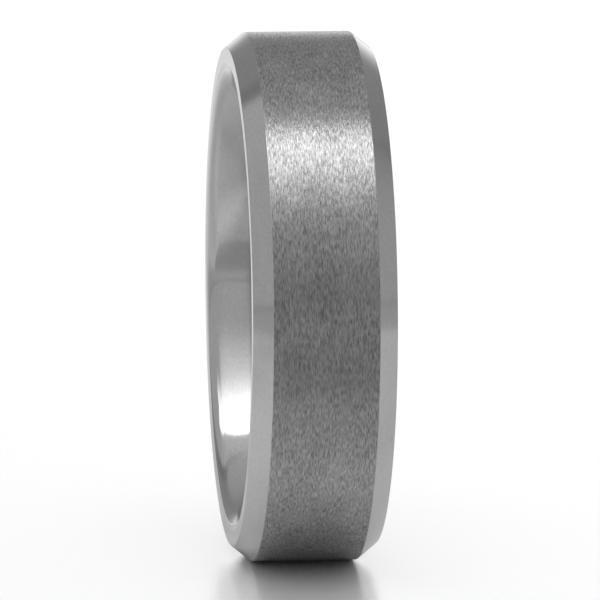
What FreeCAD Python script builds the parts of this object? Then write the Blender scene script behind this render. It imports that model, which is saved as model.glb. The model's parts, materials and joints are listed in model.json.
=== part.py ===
import FreeCAD, Part

import os
from enum import IntEnum

import Sketcher
from FreeCAD import Vector

# Wedding band, flat outside with bevelled edges and a comfort-fit bore.
#
# The band is one piece, turned from bar: a single profile carried once round the finger's axis.
# Millimetres. The finger's axis is X, +Z is up, and the origin is the centre of the ring, so the
# band stands on its edge as it would when set down on a table to be looked at.

TOUCHING = 1e-4

doc = FreeCAD.newDocument("wedding_band")

# ---------------------------------------------------------------------------------------------
# Driving sizes
# ---------------------------------------------------------------------------------------------

SIZES = [
    ("bore_diameter", 18.14, "finger size: diameter of the straight stretch of the bore, US size 8"),
    ("wall", 2.1, "from the bore to the brushed outer face"),
    ("band_width", 6.0, "along the finger, over the two side faces"),
    ("face_width", 4.4, "flat brushed face between the two bevels"),
    ("bevel_drop", 0.65, "how far each bevel falls from the outer face to the side face"),
    ("land_length", 1.0, "straight stretch in the middle of the bore"),
    ("comfort_rise", 0.46, "how far the dome of the bore opens from the straight stretch to the side face"),
    ("mouth_round", 0.68, "round where the bore meets each side face"),
    ("edge_break", 0.04, "tiny round that takes the sharpness off the turned edges outside"),
]

sizes = doc.addObject("Spreadsheet::Sheet", "Sizes")
sizes.Label = "Sizes"
for row, (alias, value, meaning) in enumerate(SIZES, start=1):
    sizes.set(f"A{row}", alias)
    sizes.set(f"B{row}", str(value))
    sizes.set(f"C{row}", meaning)
    sizes.setAlias(f"B{row}", alias)
doc.recompute()


# ---------------------------------------------------------------------------------------------
# Profile of the band
# ---------------------------------------------------------------------------------------------

class End(IntEnum):
    """Name the two ends of a line or an arc in the sketch."""

    START = 1
    STOP = 2

    @property
    def other(self):
        return End.STOP if self is End.START else End.START


class Axis(IntEnum):
    """Name the sketch's own axes: the finger's axis lies along, the ring's middle plane across."""

    ALONG = -1
    ACROSS = -2


def origin_plane(body, role):
    """Find one of the body's own base planes by its role."""
    return next(item for item in body.Origin.OriginFeatures if item.Role == role)


def rough_profile():
    """Give first positions for the profile's corners, right half first, as (x, radius) vectors.

    The constraints below set the true sizes; these only have to lie the right way round.
    """
    bore = sizes.bore_diameter / 2
    outside = bore + sizes.wall
    face_end = Vector(sizes.face_width / 2, outside, 0)
    bevel_end = Vector(sizes.band_width / 2, outside - sizes.bevel_drop, 0)
    mouth = Vector(sizes.band_width / 2, bore + sizes.comfort_rise, 0)
    land_end = Vector(sizes.land_length / 2, bore, 0)
    return face_end, bevel_end, mouth, land_end


def mirrored(point):
    """Give the same corner on the other side of the ring's middle plane."""
    return Vector(-point.x, point.y, 0)


def comfort_arc(land_end, mouth):
    """Give the arc that leaves the land along the axis and ends at the mouth of the bore."""
    run = mouth.x - land_end.x
    rise = mouth.y - land_end.y
    radius = (run * run + rise * rise) / (2 * rise)
    centre = Vector(land_end.x, land_end.y + radius, 0)
    halfway = (land_end + mouth) / 2 - centre
    middle = centre + halfway * (radius / halfway.Length)
    return Part.Arc(land_end, middle, mouth)


band = doc.addObject("PartDesign::Body", "band")
band.Label = "band"

profile = band.newObject("Sketcher::SketchObject", "band_profile")
profile.AttachmentSupport = (origin_plane(band, "XZ_Plane"), [""])
profile.MapMode = "FlatFace"

face_end, bevel_end, mouth, land_end = rough_profile()

face = profile.addGeometry(Part.LineSegment(mirrored(face_end), face_end))
right_bevel = profile.addGeometry(Part.LineSegment(face_end, bevel_end))
right_side = profile.addGeometry(Part.LineSegment(bevel_end, mouth))
right_comfort = profile.addGeometry(comfort_arc(land_end, mouth))
land = profile.addGeometry(Part.LineSegment(land_end, mirrored(land_end)))
left_comfort = profile.addGeometry(comfort_arc(mirrored(land_end), mirrored(mouth)))
left_side = profile.addGeometry(Part.LineSegment(mirrored(mouth), mirrored(bevel_end)))
left_bevel = profile.addGeometry(Part.LineSegment(mirrored(bevel_end), mirrored(face_end)))


def arc_end_at(arc, x):
    """Tell which end of an arc lies at the given place along the axis."""
    start = profile.getPoint(arc, End.START)
    return End.START if abs(start.x - x) < TOUCHING else End.STOP


right_land_end = arc_end_at(right_comfort, land_end.x)
left_land_end = arc_end_at(left_comfort, -land_end.x)

# the outline closes corner to corner, and the bore's arcs run smoothly into the land
profile.addConstraint([
    Sketcher.Constraint("Coincident", face, End.STOP, right_bevel, End.START),
    Sketcher.Constraint("Coincident", right_bevel, End.STOP, right_side, End.START),
    Sketcher.Constraint("Coincident", right_side, End.STOP, right_comfort, right_land_end.other),
    Sketcher.Constraint("Tangent", right_comfort, right_land_end, land, End.START),
    Sketcher.Constraint("Tangent", land, End.STOP, left_comfort, left_land_end),
    Sketcher.Constraint("Coincident", left_comfort, left_land_end.other, left_side, End.START),
    Sketcher.Constraint("Coincident", left_side, End.STOP, left_bevel, End.START),
    Sketcher.Constraint("Coincident", left_bevel, End.STOP, face, End.START),
    Sketcher.Constraint("Vertical", right_side),
])

# both halves are alike
profile.addConstraint([
    Sketcher.Constraint("Symmetric", face, End.START, face, End.STOP, Axis.ACROSS),
    Sketcher.Constraint("Symmetric", left_side, End.STOP, right_side, End.START, Axis.ACROSS),
    Sketcher.Constraint("Symmetric", left_side, End.START, right_side, End.STOP, Axis.ACROSS),
    Sketcher.Constraint("Symmetric", land, End.START, land, End.STOP, Axis.ACROSS),
])


def drive(name, kind, arguments, formula):
    """Add a dimension to the profile and bind it to the sheet."""
    index = profile.addConstraint(Sketcher.Constraint(kind, *arguments))
    profile.renameConstraint(index, name)
    profile.setExpression(f"Constraints.{name}", formula)


def drive_length(name, low_end, high_end):
    """Bind a distance along the finger's axis to the size of the same name."""
    drive(name, "DistanceX", (*low_end, *high_end, getattr(sizes, name)), f"Sizes.{name}")


def drive_height(name, low_end, high_end):
    """Bind a distance away from the finger's axis to the size of the same name."""
    drive(name, "DistanceY", (*low_end, *high_end, getattr(sizes, name)), f"Sizes.{name}")


drive_length("face_width", (face, End.START), (face, End.STOP))
drive_length("band_width", (left_side, End.STOP), (right_side, End.START))
drive_length("land_length", (land, End.STOP), (land, End.START))
drive_height("wall", (land, End.START), (face, End.STOP))
drive_height("bevel_drop", (right_side, End.START), (face, End.STOP))
drive_height("comfort_rise", (land, End.START), (right_side, End.STOP))
drive("bore_radius", "DistanceY", (Axis.ALONG, End.START, land, End.START, land_end.y),
      "Sizes.bore_diameter / 2")
doc.recompute()

# ---------------------------------------------------------------------------------------------
# Turning, and the rounds at its edges
# ---------------------------------------------------------------------------------------------

turning = band.newObject("PartDesign::Revolution", "band_turning")
turning.Profile = profile
turning.ReferenceAxis = (profile, ["H_Axis"])
turning.Angle = 360
doc.recompute()


def rings_at(shape, corner):
    """Name the circular edges, on both sides of the ring, that pass through a profile corner."""
    names = []
    for index, edge in enumerate(shape.Edges, start=1):
        if not isinstance(edge.Curve, Part.Circle):
            continue
        if abs(edge.Curve.Radius - corner.y) > TOUCHING:
            continue
        if abs(abs(edge.Curve.Center.x) - corner.x) > TOUCHING:
            continue
        names.append(f"Edge{index}")
    return names


mouths = band.newObject("PartDesign::Fillet", "mouth_rounds")
mouths.Base = (turning, rings_at(turning.Shape, mouth))
mouths.setExpression("Radius", "Sizes.mouth_round")
turning.Visibility = False
doc.recompute()

breaks = band.newObject("PartDesign::Fillet", "edge_breaks")
breaks.Base = (mouths, rings_at(mouths.Shape, face_end) + rings_at(mouths.Shape, bevel_end))
breaks.setExpression("Radius", "Sizes.edge_break")
mouths.Visibility = False
band.Tip = breaks
doc.recompute()

# ---------------------------------------------------------------------------------------------
# Check and write
# ---------------------------------------------------------------------------------------------

for item in doc.Objects:
    if "Invalid" in item.State or "Error" in item.State:
        raise RuntimeError(f"{item.Name} failed: {item.State}")

SUB_PARTS = [band]
os.makedirs("parts", exist_ok=True)
for part in SUB_PARTS:
    if part.Shape.isNull() or not part.Shape.isValid():
        raise RuntimeError(f"{part.Label} has no valid shape")
    part.Shape.exportStep(f"parts/{part.Label}.step")
    box = part.Shape.optimalBoundingBox()
    print(f"{part.Label}: {len(part.Shape.Solids)} solid, {len(part.Shape.Faces)} faces, "
          f"{part.Shape.Volume:.3f} mm3, {box.XLength:.3f} x {box.YLength:.3f} x {box.ZLength:.3f} mm")
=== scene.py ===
# %% [markdown]
# # A plain wedding band
#
# The object is one ring of grey titanium: a flat brushed outer face, a straight polished bevel on
# each side, two narrow side faces and a polished bore that is slightly domed, which jewellers call
# comfort fit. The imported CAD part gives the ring's size and place. This script gives it the fine
# surface, the two finishes, and a small table-top studio to stand in.

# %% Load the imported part

import json
import math

import bpy
import numpy as np
from mathutils import Matrix, Vector


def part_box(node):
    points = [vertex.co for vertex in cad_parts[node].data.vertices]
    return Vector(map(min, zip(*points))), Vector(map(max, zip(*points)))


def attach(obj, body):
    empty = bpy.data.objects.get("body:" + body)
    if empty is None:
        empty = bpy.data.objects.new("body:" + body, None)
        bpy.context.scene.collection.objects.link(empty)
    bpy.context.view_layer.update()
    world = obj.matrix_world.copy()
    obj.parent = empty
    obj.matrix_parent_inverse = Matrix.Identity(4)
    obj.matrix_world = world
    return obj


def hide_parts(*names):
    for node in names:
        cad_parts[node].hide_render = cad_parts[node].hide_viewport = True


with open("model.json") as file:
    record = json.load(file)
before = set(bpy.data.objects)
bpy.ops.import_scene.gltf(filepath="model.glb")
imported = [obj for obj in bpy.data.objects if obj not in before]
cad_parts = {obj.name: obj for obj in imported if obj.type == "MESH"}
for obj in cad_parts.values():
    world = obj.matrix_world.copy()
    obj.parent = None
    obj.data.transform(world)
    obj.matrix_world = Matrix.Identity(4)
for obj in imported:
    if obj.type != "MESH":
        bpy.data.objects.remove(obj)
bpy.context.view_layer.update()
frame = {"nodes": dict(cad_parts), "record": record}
scene = bpy.context.scene

print("nodes:", sorted(frame["nodes"]))


def add_object(name, data):
    """Add an object with this mesh, lamp or camera to the scene, at the origin."""
    added = bpy.data.objects.new(name, data)
    scene.collection.objects.link(added)
    return added


# %% [markdown]
# ## Sizes
#
# The ring's axis is X and the origin is its centre. The outer radius and the width are read from
# the CAD node's box. The bore's radius and the length of its straight stretch are read from the
# mount that takes the finger. The rest are the turned profile's own sizes.

# %% Sizes of the band, in metres

MM = 0.001

highest_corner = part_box("band")[1]
outer_radius = highest_corner.z
half_width = highest_corner.x

mounts = {mount["name"]: mount for mount in frame["record"]["mounts"]}
finger_bore = mounts["finger_bore"]
bore_radius = finger_bore["dims"]["r_mm"] * MM
half_land = finger_bore["dims"]["length_mm"] * MM / 2

half_face = 2.2 * MM          # half the width of the brushed face
bevel_drop = 0.65 * MM        # how far a bevel falls from the face to the side
comfort_rise = 0.46 * MM      # how far the bore opens from its middle to the side
mouth_round = 0.68 * MM       # round between the bore and a side face
edge_break = 0.04 * MM        # tiny round on the turned edges outside

print(f"outer radius {outer_radius / MM:.3f} mm, bore radius {bore_radius / MM:.3f} mm, "
      f"width {2 * half_width / MM:.3f} mm")

# %% [markdown]
# ## The turned profile
#
# A band like this is turned on a lathe, so its whole form is one closed outline carried round the
# axis. The outline could be drawn as a curve and spun with a modifier. Here it is worked out as
# points instead, because then each point also knows its exact direction outwards, and polished
# metal needs exact directions: it shows the smallest facet as a kink in its reflections.
#
# Half of the outline is made, from the middle of the outer face to the middle of the bore, and the
# other half is its mirror image.

# %% Pieces of outline: straight runs and arcs


def straight(start, end, count):
    """Points evenly spaced from start to end: start plus a share of the way to end."""
    share = np.linspace(0, 1, count)[:, None]
    return np.asarray(start) * (1 - share) + np.asarray(end) * share


def arc(centre, radius, start, end, count):
    """Points on a circle: the centre plus the radius in a direction turning from start to end."""
    angle = np.linspace(start, end, count)
    return np.asarray(centre) + radius * np.stack([np.cos(angle), np.sin(angle)], 1)


def broken_corner(before, corner, after, radius, count):
    """Points of a small arc that replaces a corner and touches the lines on both sides of it.

    Its centre lies on the line that halves the corner, at the radius over the sine of half the
    corner's angle.
    """
    before, corner, after = (np.asarray(point, float) for point in (before, corner, after))
    back = (before - corner) / np.linalg.norm(before - corner)
    on = (after - corner) / np.linalg.norm(after - corner)
    half_angle = math.acos(back @ on) / 2
    middle = (back + on) / np.linalg.norm(back + on)
    centre = corner + middle * radius / math.sin(half_angle)
    first = corner + back * radius / math.tan(half_angle) - centre
    last = corner + on * radius / math.tan(half_angle) - centre
    start = math.atan2(first[1], first[0])
    turn = (math.atan2(last[1], last[0]) - start + math.pi) % (2 * math.pi) - math.pi
    return arc(centre, radius, start, start + turn, count)


# %% The comfort-fit bore

# The dome of the bore is an arc that leaves the straight stretch along the axis and has risen by
# comfort_rise at the side face: its radius is (run squared plus rise squared) over twice the rise.
run = half_width - half_land
dome_radius = (run ** 2 + comfort_rise ** 2) / (2 * comfort_rise)
dome_centre = np.array([-half_land, bore_radius + dome_radius])

# The round at the mouth touches the side face and, from inside, the dome.
round_x = -half_width + mouth_round
offset_x = round_x - dome_centre[0]
reach = dome_radius - mouth_round
round_centre = np.array([round_x, dome_centre[1] - math.sqrt(reach ** 2 - offset_x ** 2)])
round_end = math.atan2(round_centre[1] - dome_centre[1], offset_x)

print(f"dome radius {dome_radius / MM:.2f} mm, side face from {round_centre[1] / MM:.2f} mm out")

# %% The whole outline

# How many points each run or arc gets. A curve that mirrors the room gets more than a flat.
FACE_POINTS = 13
BREAK_POINTS = 6
BEVEL_POINTS = 7
SIDE_POINTS = 5
MOUTH_POINTS = 17
DOME_POINTS = 25
LAND_POINTS = 3

face_middle = (0, outer_radius)
face_end = (-half_face, outer_radius)
bevel_end = (-half_width, outer_radius - bevel_drop)
side_end = (-half_width, round_centre[1])
land_end = (-half_land, bore_radius)

face_break = broken_corner(face_middle, face_end, bevel_end, edge_break, BREAK_POINTS)
side_break = broken_corner(face_end, bevel_end, side_end, edge_break, BREAK_POINTS)

# Each run leaves out its last point, because the next run starts there.
half_outline = np.concatenate([
    straight(face_middle, face_break[0], FACE_POINTS)[:-1],
    face_break[:-1],
    straight(face_break[-1], side_break[0], BEVEL_POINTS)[:-1],
    side_break[:-1],
    straight(side_break[-1], side_end, SIDE_POINTS)[:-1],
    arc(round_centre, mouth_round, math.pi, round_end + 2 * math.pi, MOUTH_POINTS)[:-1],
    arc(dome_centre, dome_radius, round_end, -math.pi / 2, DOME_POINTS)[:-1],
    straight(land_end, (0, bore_radius), LAND_POINTS),
])
other_half = (half_outline * (-1, 1))[::-1][1:-1]
outline = np.concatenate([half_outline, other_half])

print(f"{len(outline)} points in the outline")

# %% [markdown]
# ## Carrying the profile round the axis
#
# Every point of the outline goes once round the X axis. All of it is done as whole arrays: a
# column of angles against a row of outline points. The outward directions are worked out on the
# outline and carried round in the same way, then given to the mesh as its own normals.

# %% Directions outwards on the outline


def outward(points):
    """Directions at right angles to a closed outline, one for each point.

    Each is square to a mean of the two runs that meet at the point. A run counts as the square of
    its length, so a flat stays flat right up to the arc that ends it.
    """
    run_in = points - np.roll(points, 1, axis=0)
    run_out = np.roll(points, -1, axis=0) - points
    along = run_in * np.linalg.norm(run_in, axis=1, keepdims=True)
    along += run_out * np.linalg.norm(run_out, axis=1, keepdims=True)
    along /= np.linalg.norm(along, axis=1, keepdims=True)
    # the outline runs from the outer face down the left side, so outwards is to its right
    return np.stack([along[:, 1], -along[:, 0]], 1)


def carried_round(pairs, turns):
    """Turn (along the axis, away from the axis) pairs into places at every angle.

    x is the pair's first number; y and z are its second number times minus the cosine and the sine
    of the angle.
    """
    along, away = pairs[:, 0], pairs[:, 1]
    cosine, sine = np.cos(turns)[:, None], np.sin(turns)[:, None]
    same_along = np.broadcast_to(along, (len(turns), len(pairs)))
    return np.stack([same_along, -cosine * away, sine * away], -1).reshape(-1, 3)


directions = outward(outline)
print("outer face looks outwards:", directions[1].round(3))

# %% The band's mesh

STEPS_ROUND = 600
turns = np.arange(STEPS_ROUND) / STEPS_ROUND * 2 * math.pi
places = carried_round(outline, turns)
normals = carried_round(directions, turns)

# Both ways round, the last row or column joins up with the first, so the surface has no seam.
across = np.arange(len(outline))
next_across = np.roll(across, -1)
ring = np.arange(STEPS_ROUND)[:, None] * len(outline)
next_ring = np.roll(ring, -1, axis=0)
quads = np.stack([ring + across, next_ring + across,
                  next_ring + next_across, ring + next_across], -1).reshape(-1, 4)

band_mesh = bpy.data.meshes.new("band_surface")
band_mesh.from_pydata(places.tolist(), [], quads.tolist())
band_mesh.polygons.foreach_set("use_smooth", np.ones(len(band_mesh.polygons), bool))
band_mesh.normals_split_custom_set_from_vertices(normals.tolist())

band = add_object("band_surface", band_mesh)
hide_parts("band")
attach(band, "root")

print(f"{len(band_mesh.polygons)} faces in the band")

# %% [markdown]
# ## Writing materials as sums
#
# A material is a network of nodes. Networks of Math nodes are hard to read, so two small classes
# turn Python expressions into nodes: `Signal` stands for one output, and `Network` adds any node.

# %% Signals and networks


class Signal:
    """One output of a node. Sums and products with it add Math nodes to its network."""

    def __init__(self, network, socket):
        self.network = network
        self.socket = socket

    def maths(self, operation, *others):
        """Add a Math node with this signal first and the others after it."""
        return self.network.maths(operation, self, *others)

    def __add__(self, other):
        return self.maths("ADD", other)

    def __sub__(self, other):
        return self.maths("SUBTRACT", other)

    def __rsub__(self, other):
        return self.network.maths("SUBTRACT", other, self)

    def __mul__(self, other):
        return self.maths("MULTIPLY", other)

    def __truediv__(self, other):
        return self.maths("DIVIDE", other)

    def __rtruediv__(self, other):
        return self.network.maths("DIVIDE", other, self)

    def __neg__(self):
        return self * -1

    def __abs__(self):
        return self.maths("ABSOLUTE")

    __radd__ = __add__
    __rmul__ = __mul__

    def step(self, low, high):
        """Rise smoothly from 0 at low to 1 at high; with high under low it falls instead."""
        return self.network.node("MapRange", {"interpolation_type": "SMOOTHSTEP"},
                                 {"Value": self, "From Min": low, "From Max": high})

    def between(self, start, full, still_full, end):
        """Rise from 0 at start to 1 at full, and fall from still_full to 0 at end."""
        return self.step(start, full) * self.step(end, still_full)

    def spread(self, low, high, to_low, to_high):
        """Carry the span from low to high onto the span from to_low to to_high, and stop there."""
        return self.network.node("MapRange", {}, {"Value": self, "From Min": low, "From Max": high,
                                                  "To Min": to_low, "To Max": to_high})


class Network:
    """The nodes of a material or a world."""

    def __init__(self, owner):
        owner.use_nodes = True
        self.tree = owner.node_tree
        self.tree.nodes.clear()

    def node(self, kind, settings, values, output=0):
        """Add a node: first its settings, then a number, colour or signal for each socket."""
        made = self.tree.nodes.new("ShaderNode" + kind)
        for name, value in settings.items():
            setattr(made, name, value)
        for name, value in values.items():
            if isinstance(value, Signal):
                self.tree.links.new(value.socket, made.inputs[name])
            else:
                made.inputs[name].default_value = value
        return Signal(self, made.outputs[output]) if made.outputs else None

    def maths(self, operation, *values):
        return self.node("Math", {"operation": operation}, dict(enumerate(values)))

    def axes(self, output, names="XYZ"):
        """Give the named axes of a texture coordinate, one signal for each."""
        place = self.node("TexCoord", {}, {}, output)
        return [self.node("SeparateXYZ", {}, {"Vector": place}, name) for name in names]

    def noise(self, cells_per_metre, detail=2.0):
        """Give noise on the object itself, with so many cells in a metre along each axis.

        It hardly leaves the span from 0.25 to 0.75, so its spreads start from about there.
        """
        place = self.node("TexCoord", {}, {}, "Object")
        place = self.node("Mapping", {}, {"Vector": place, "Scale": cells_per_metre})
        return self.node("TexNoise", {}, {"Vector": place, "Scale": 1.0, "Detail": detail})

    def grey(self, level):
        """Turn one level into a grey colour."""
        return self.node("CombineColor", {}, {"Red": level, "Green": level, "Blue": level})


# %% [markdown]
# ## Polished titanium
#
# The bevels, the side faces and the bore are polished, but not to a mirror: the reflections are a
# little soft, with a faint unevenness left by the buffing wheel, and the lathe's finest marks still
# run round them. These could be modelled as relief, but they are thousandths of a millimetre deep.
# So the metal is one grey, and noise moves its roughness, its direction and its grey very slightly.

# %% Polished finish

TITANIUM = 0.52
HAZE_CELLS = (900, 500, 500)
LATHE_MARK_CELLS = (9000, 300, 300)
SPECK_CELLS = (14000, 6000, 6000)
RELIEF_DEPTH = 0.02 * MM
POLISHED_RELIEF = 0.06
POLISHED_ROUGHNESS = (0.08, 0.12)


def polished_finish():
    material = bpy.data.materials.new("polished_titanium")
    network = Network(material)
    haze = network.noise(HAZE_CELLS, detail=3.0)
    lathe_marks = network.noise(LATHE_MARK_CELLS)
    specks = network.noise(SPECK_CELLS)

    tone = specks.spread(0.25, 0.75, TITANIUM - 0.03, TITANIUM + 0.03)
    tone = tone + haze.spread(0.3, 0.7, -0.015, 0.015)
    relief = haze * 0.6 + lathe_marks * 0.4
    bump = network.node("Bump", {}, {"Strength": POLISHED_RELIEF, "Distance": RELIEF_DEPTH,
                                     "Height": relief})

    shader = network.node("BsdfPrincipled", {}, {
        "Base Color": network.grey(tone),
        "Metallic": 1.0,
        "Roughness": haze.spread(0.3, 0.7, *POLISHED_ROUGHNESS),
        "Normal": bump,
    })
    network.node("OutputMaterial", {}, {"Surface": shader})
    return material


# %% [markdown]
# ## Brushed titanium
#
# The outer face is brushed by turning the ring against an abrasive belt, which leaves short fine
# scratches that run round the ring. They spread a reflection along the ring's axis much more than
# round it. The scratches could be modelled, but there are far too many of them. The shader's own
# anisotropy gives the spread: its tangent runs round the X axis, and a quarter turn lays the spread
# along the axis. A noise that is stretched round the ring gives the grain that the eye can still
# make out. A scratch that shines is both paler and smoother than the metal beside it, so the same
# grain moves grey and roughness, in opposite senses.
#
# Besides grey, roughness and relief, the tangent is the only thing that reaches the shader by a
# link. One node gives it, with nothing behind it. An export that can't carry it keeps the grain,
# but may draw the highlight out in another direction, or not at all.

# %% Brushed finish

GRAIN_CELLS = (20000, 4000, 4000)
DARK_SCRATCH, PALE_SCRATCH = 0.24, 0.61
ROUGH_SCRATCH, SMOOTH_SCRATCH = 0.47, 0.29
BRUSHED_RELIEF = 0.7
ANISOTROPY = 0.94
QUARTER_TURN = 0.25


def brushed_finish():
    material = bpy.data.materials.new("brushed_titanium")
    network = Network(material)
    grain = network.noise(GRAIN_CELLS)
    patches = network.noise(HAZE_CELLS, detail=4.0)

    tone = grain.spread(0.25, 0.75, DARK_SCRATCH, PALE_SCRATCH)
    tone = tone + patches.spread(0.3, 0.7, -0.04, 0.04)
    bump = network.node("Bump", {}, {"Strength": BRUSHED_RELIEF, "Distance": RELIEF_DEPTH,
                                     "Height": grain})

    shader = network.node("BsdfPrincipled", {}, {
        "Base Color": network.grey(tone),
        "Metallic": 1.0,
        "Roughness": grain.spread(0.25, 0.75, ROUGH_SCRATCH, SMOOTH_SCRATCH),
        "Anisotropic": ANISOTROPY,
        "Anisotropic Rotation": QUARTER_TURN,
        "Tangent": network.node("Tangent", {"direction_type": "RADIAL", "axis": "X"}, {}),
        "Normal": bump,
    })
    network.node("OutputMaterial", {}, {"Surface": shader})
    return material


# %% Which faces are brushed

band_mesh.materials.append(polished_finish())
band_mesh.materials.append(brushed_finish())

# A strip belongs to the outer face when its middle lies as far out as the face does.
TOUCHING = 0.001 * MM
strip_middle = (outline[:, 1] + outline[next_across, 1]) / 2
is_outer_face = strip_middle > outer_radius - TOUCHING
finish_of_face = np.tile(is_outer_face.astype(np.int32), STEPS_ROUND)
band_mesh.polygons.foreach_set("material_index", finish_of_face)

print(f"{is_outer_face.sum()} of {len(outline)} strips are brushed")

# %% [markdown]
# ## The table
#
# The ring stands on a glossy white sheet. Seen low across it, such a sheet mirrors the white wall
# behind more than it shows its own white, so the ring's soft mirror image and its shadow lie on it
# together. To the camera the table is therefore a mix of white paint and a soft gloss. The gloss is
# lifted over 1, because the room that it mirrors is duller than the white behind the ring.
#
# The metal looks at the same table from a few millimetres away, and there it isn't one even white.
# Pale cards stand beside it, the sheet has an edge, and the ring shades the table behind itself and
# throws light on it in front. Each card and edge could be a piece of its own, out of the camera's
# view. Instead their greys are painted on the table, for every ray but the camera's. So are the
# ring's shade and the light that the ring and the white wall throw on the table, as painted shade
# and painted light. That takes one plane, and the greys stay where they are from wherever the ring
# is looked at.

# %% Greys of the table, with painted light and painted shade, as the metal sees it

DEGREE = math.radians(1)
# The table's grey where no patch pales it: painted shade.
TABLE_IN_SHADE = 0.25


def table_greys_painted_light_and_shade(network):
    """Give the table's grey by place: the grey in painted shade plus a share for each patch.

    Some patches are cards and the sheet; the others are painted light and painted shade.

    Distances are in millimetres. Angles are in degrees round the ring: 0 in front of it, negative
    on its left, 180 behind.
    """
    x, y = (axis / MM for axis in network.axes("Object", "XY"))
    angle = x.maths("ARCTAN2", -y) / DEGREE
    distance = (x * x + y * y).maths("SQRT")

    far = distance.step(38, 54)
    left = angle.step(-26, -50) * (1 - far) + angle.step(-56, -66) * far
    right = angle.step(25, 60)
    behind = abs(angle).step(110, 150)
    through_bore = abs(angle).step(128, 150)
    front = (1 - left) * (1 - right * 0.5)
    front_left = angle.step(-4, -16) * (1 - left)
    beside = left * (1 - behind)
    straight_left = angle.between(-150, -116, -82, -50)
    past_edge = y + (abs(x) - 12).maths("MAXIMUM", 0) * 0.2
    sheet = past_edge.step(-24, -18) * distance.step(100, 75)
    off_sheet = angle.step(0, -12) * (1 - left) * (1 - sheet)

    # The cards and the sheet are greys in place of pieces. The rest is painted light, from the wall
    # and thrown by the ring, and painted shade, where the ring shades the table.
    shares = [
        (0.2, left + right),                                   # the cards at the sides
        (0.3, behind),                                         # the white wall's light, behind
        (0.07, behind * distance.step(115, 160)),              # and more of it nearer the wall
        (0.17, sheet),                                         # the sheet itself
        (0.07, front_left * distance.between(9, 14, 21, 24)),  # a pale band along its edge
        (0.1, off_sheet),                                      # the table beyond the edge
        (0.12, off_sheet * distance.step(50, 140)),
        (0.23, front * distance.step(17, 7)),                  # light thrown by the outer face
        (0.13, beside * distance.between(0, 5, 12, 36)),       # light thrown by the bevel
        (0.12, through_bore * distance.step(28, 14)),          # light that comes through the bore
        # Painted shade: the ring's shade on the table, behind it and at its left.
        (-0.42, behind * distance.between(1, 9, 20, 100)),     # the ring's shade behind it
        (-0.09, straight_left * distance.step(20, 13)),        # and at its left
        (-0.06, straight_left * distance.step(60, 30)),
    ]
    return sum((where * share for share, where in shares), TABLE_IN_SHADE)


# %% Table

TABLE_WHITE = 0.98
TABLE_MIRROR = 0.74
TABLE_LIFT = 1.32
TABLE_SOFTNESS = 0.26


def plain_colour(level):
    """Give a grey as a colour with full opacity."""
    return (level, level, level, 1)


def table_finish():
    material = bpy.data.materials.new("table_white")
    network = Network(material)
    # The metal sees the table's greys with their painted light and painted shade.
    seen_by_metal = network.node("BsdfDiffuse", {}, {"Color": network.grey(table_greys_painted_light_and_shade(network))})

    paint = network.node("BsdfDiffuse", {}, {"Color": plain_colour(TABLE_WHITE)})
    gloss = network.node("BsdfGlossy", {}, {"Color": plain_colour(TABLE_LIFT),
                                             "Roughness": TABLE_SOFTNESS})
    seen_by_eye = network.node("MixShader", {}, {0: TABLE_MIRROR, 1: paint, 2: gloss})

    is_camera = network.node("LightPath", {}, {}, "Is Camera Ray")
    shader = network.node("MixShader", {}, {0: is_camera, 1: seen_by_metal, 2: seen_by_eye})
    network.node("OutputMaterial", {}, {"Surface": shader})
    return material


TABLE_SIZE = 4.0
corners = np.array([(-1, -1), (1, -1), (1, 1), (-1, 1)]) * TABLE_SIZE / 2
table_mesh = bpy.data.meshes.new("table")
table_mesh.from_pydata([(x, y, -outer_radius) for x, y in corners.tolist()], [], [(0, 1, 2, 3)])
table_mesh.materials.append(table_finish())
table = add_object("table", table_mesh)

print(f"table {TABLE_SIZE} m across, {len(table_mesh.materials[0].node_tree.nodes)} nodes in it")

# %% [markdown]
# ## The studio
#
# Polished metal is a picture of its surroundings, so the room matters more than the lamps. It could
# be built from walls and lamps of its own, but each would also light the table and fill the view.
# Here the room is a world whose level depends on the direction, and only mirrored rays see it:
#
# - a backdrop that is white low down, behind the table;
# - a pale wall on each side, with a darker seam where it begins, and a dull corner at front right;
# - a ceiling that grows paler overhead, with the softbox's spill on it at the left;
# - a large softbox overhead. Its back edge crosses just in front of the zenith and bends back at
#   the left, its light fades forwards, and a fainter glow reaches on past it.
#
# Everything that isn't a mirror sees one even level, and the camera sees plain white.

# %% The room that the metal mirrors

ROOM_IN_SHADE = 0.33


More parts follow.
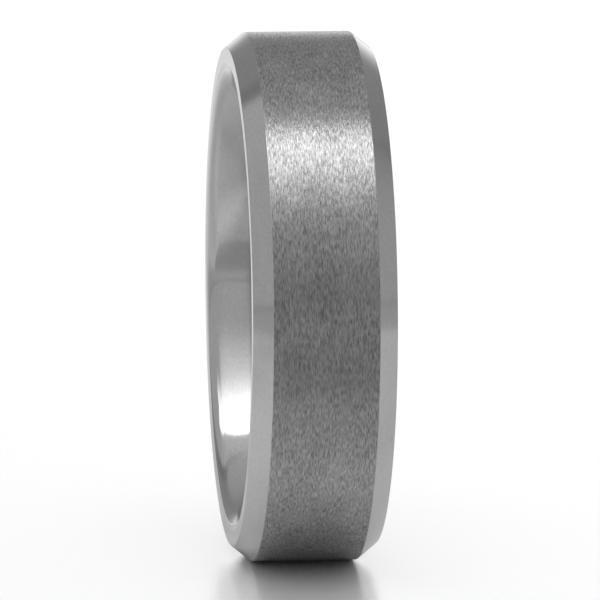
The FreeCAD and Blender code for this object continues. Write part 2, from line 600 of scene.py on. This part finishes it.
def mirrored_room(network):
    """Give the room's level by direction: the level in shade plus a share for each thing in it.

    x, y and z are the direction itself. Angles are in degrees: from_back is 0 behind the ring and
    from_front is 0 in front of it, both positive to the right. forward is 0 at the zenith, and
    tells how far a direction leans towards the front, whatever its x.
    """
    x, y, z = network.axes("Generated")
    from_back = x.maths("ARCTAN2", y) / DEGREE
    from_front = x.maths("ARCTAN2", -y) / DEGREE
    elevation = z.maths("ARCSINE") / DEGREE
    forward = (-y).maths("ARCTAN2", z) / DEGREE

    backdrop = elevation.step(20, 4) * from_back.between(-19.5, 8.5, 4, 66)
    right_wall = from_back.step(66, 88) * from_front.step(50, 65)
    dull_corner = from_front.between(-14, 8, 50, 65) * elevation.step(22, 8)
    seams = from_back.between(-52, -47, -44, -37) + from_back.between(63, 67, 67, 71) * 0.5
    seams = seams * elevation.step(10, 16)
    ceiling = elevation.step(20, 90)

    # The left wall ends below the ceiling, and there the softbox's spill takes over from it.
    left_wall = from_back.step(-48, -54) * from_front.step(5, -8) * elevation.step(80, 60) * 0.21
    spill = forward.step(-20, -4) * 0.17 + forward.step(-60, -40) * x.step(-0.48, -0.4) * 0.07
    left_side = left_wall.maths("MAXIMUM", spill * x.step(-0.04, -0.14))

    back_edge = (forward - abs(x + 0.25) * 10.31).step(0.8, 2.6)
    bent_edge = (forward - (x + 0.38).maths("MINIMUM", 0) * 45.84).step(0.5, 7.5)
    bent_edge = bent_edge * x.between(-0.78, -0.72, -0.42, -0.36)
    back_edge = back_edge.maths("MAXIMUM", bent_edge)
    softbox = back_edge * (forward - x * 14.32).step(47, 8) * x.between(-0.84, -0.76, 0.4, 0.6)
    glow = back_edge * forward.step(72, 32) * x.between(-0.65, -0.35, -0.1, 0.05)

    shares = [
        (0.85, backdrop),
        (1, left_side),
        (0.16, right_wall),
        (-0.2, dull_corner),
        (-0.07, seams),
        (0.21, ceiling),
        (1.78, softbox),
        (0.52, glow),
    ]
    return sum((where * share for share, where in shares), ROOM_IN_SHADE)


# %% World

PLAIN_LEVEL = 0.9


def studio():
    world = bpy.data.worlds.new("studio")
    network = Network(world)
    is_camera = network.node("LightPath", {}, {}, "Is Camera Ray")
    is_glossy = network.node("LightPath", {}, {}, "Is Glossy Ray")
    level = mirrored_room(network) * is_glossy + (1 - is_glossy) * PLAIN_LEVEL
    level = level * (1 - is_camera) + is_camera
    background = network.node("Background", {}, {"Color": plain_colour(1), "Strength": level})
    network.node("OutputWorld", {}, {"Surface": background})
    return world


scene.view_settings.view_transform = "Standard"
scene.world = studio()

print(f"{len(scene.world.node_tree.nodes)} nodes in the room")

# %% [markdown]
# ## The lamp
#
# The world alone would leave hardly any shadow. One soft lamp, where the softbox is, gives the ring
# its shadow on the table. The metal already mirrors the softbox in the world, so the lamp itself is
# hidden from mirrored rays.

# %% Lamp

LAMP_DISTANCE = 0.4
LAMP_WIDTH, LAMP_HEIGHT = 0.34, 0.3
LAMP_RADIANCE = 1.5
LAMP_TO_LEFT = math.radians(5)
LAMP_ELEVATION = math.radians(65)

to_lamp = Vector((-math.sin(LAMP_TO_LEFT) * math.cos(LAMP_ELEVATION),
                  -math.cos(LAMP_TO_LEFT) * math.cos(LAMP_ELEVATION),
                  math.sin(LAMP_ELEVATION)))

# A lamp's power is its radiance times its area times pi.
lamp = bpy.data.lights.new("softbox", "AREA")
lamp.shape = "RECTANGLE"
lamp.size, lamp.size_y = LAMP_WIDTH, LAMP_HEIGHT
lamp.energy = LAMP_RADIANCE * LAMP_WIDTH * LAMP_HEIGHT * math.pi

softbox = add_object("softbox", lamp)
softbox.location = to_lamp * LAMP_DISTANCE
softbox.rotation_euler = (-to_lamp).to_track_quat("-Z", "Y").to_euler()
softbox.visible_glossy = False

print(f"lamp of {lamp.energy:.2f} W, {LAMP_DISTANCE} m away")

# %% [markdown]
# ## The camera
#
# A long lens from a little above and to the left, which looks almost straight at the brushed face
# and just into the bore.

# %% Camera

# The picture is 600 units across. The lens's length, and the ring's place from the picture's top
# left corner, are given in the same units.
PICTURE_SIDE = 600
FOCAL = 9476.8
RING_AT = (299.1, 295.85)
SENSOR = 36.0
DISTANCE = 400.3 * MM
CAMERA_TURN = math.radians(5.964)
CAMERA_RISE = math.radians(7.887)

ahead = Vector((math.sin(CAMERA_TURN) * math.cos(CAMERA_RISE),
                math.cos(CAMERA_TURN) * math.cos(CAMERA_RISE),
                -math.sin(CAMERA_RISE)))
right = Vector((math.cos(CAMERA_TURN), -math.sin(CAMERA_TURN), 0))
up = right.cross(ahead)

aside = (PICTURE_SIDE / 2 - RING_AT[0]) / FOCAL * DISTANCE
above = (RING_AT[1] - PICTURE_SIDE / 2) / FOCAL * DISTANCE
position = right * aside + up * above - ahead * DISTANCE

camera = bpy.data.cameras.new("camera")
camera.sensor_width = SENSOR
camera.lens = SENSOR * FOCAL / PICTURE_SIDE
camera.clip_start = 0.01
camera.clip_end = 20
viewer = add_object("camera", camera)
viewer.matrix_world = Matrix((
    (right.x, up.x, -ahead.x, position.x),
    (right.y, up.y, -ahead.y, position.y),
    (right.z, up.z, -ahead.z, position.z),
    (0, 0, 0, 1),
))
scene.camera = viewer

print(f"lens {camera.lens:.0f} mm at {DISTANCE / MM:.0f} mm")
